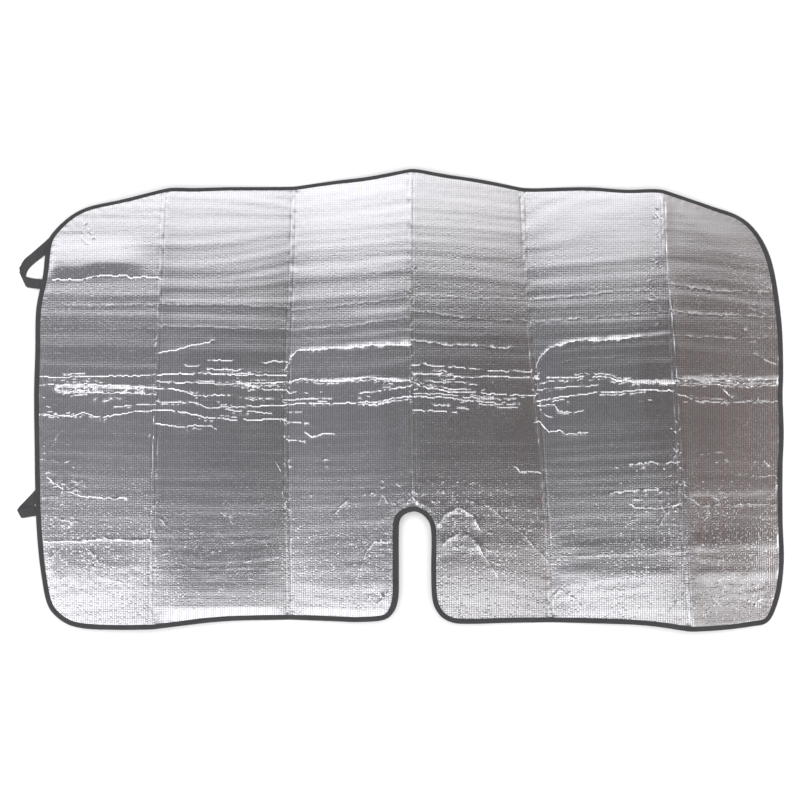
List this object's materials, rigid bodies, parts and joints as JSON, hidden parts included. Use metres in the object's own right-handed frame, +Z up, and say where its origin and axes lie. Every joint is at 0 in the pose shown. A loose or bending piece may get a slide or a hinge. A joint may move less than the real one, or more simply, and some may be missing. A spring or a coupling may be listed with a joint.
{
  "type": "windscreen sunshade",
  "caption": "Folding foil-faced windscreen sunshade lying open, with pressed vertical creases, taped edge, mirror notch and elastic loops at one end",
  "frame": {"origin": "centre of the overall plan outline, loops included, on the floor the sunshade lies on", "axes": "+X along the long side, away from the end with the elastic loops; +Y towards the roof edge, opposite the mirror notch; +Z up, off the floor"},
  "size_m": [1.3376, 0.803, 0.0145],
  "materials": {
    "foil": "embossed metallised film, satin mirror",
    "tape": "woven, matt",
    "elastic": "ribbed woven elastic, matt"
  },
  "bodies": {
    "root": {"foil_sheet": "foil", "edge_binding": "tape", "elastic_loop_upper": "elastic", "elastic_loop_lower": "elastic"}
  },
  "joints": []
}
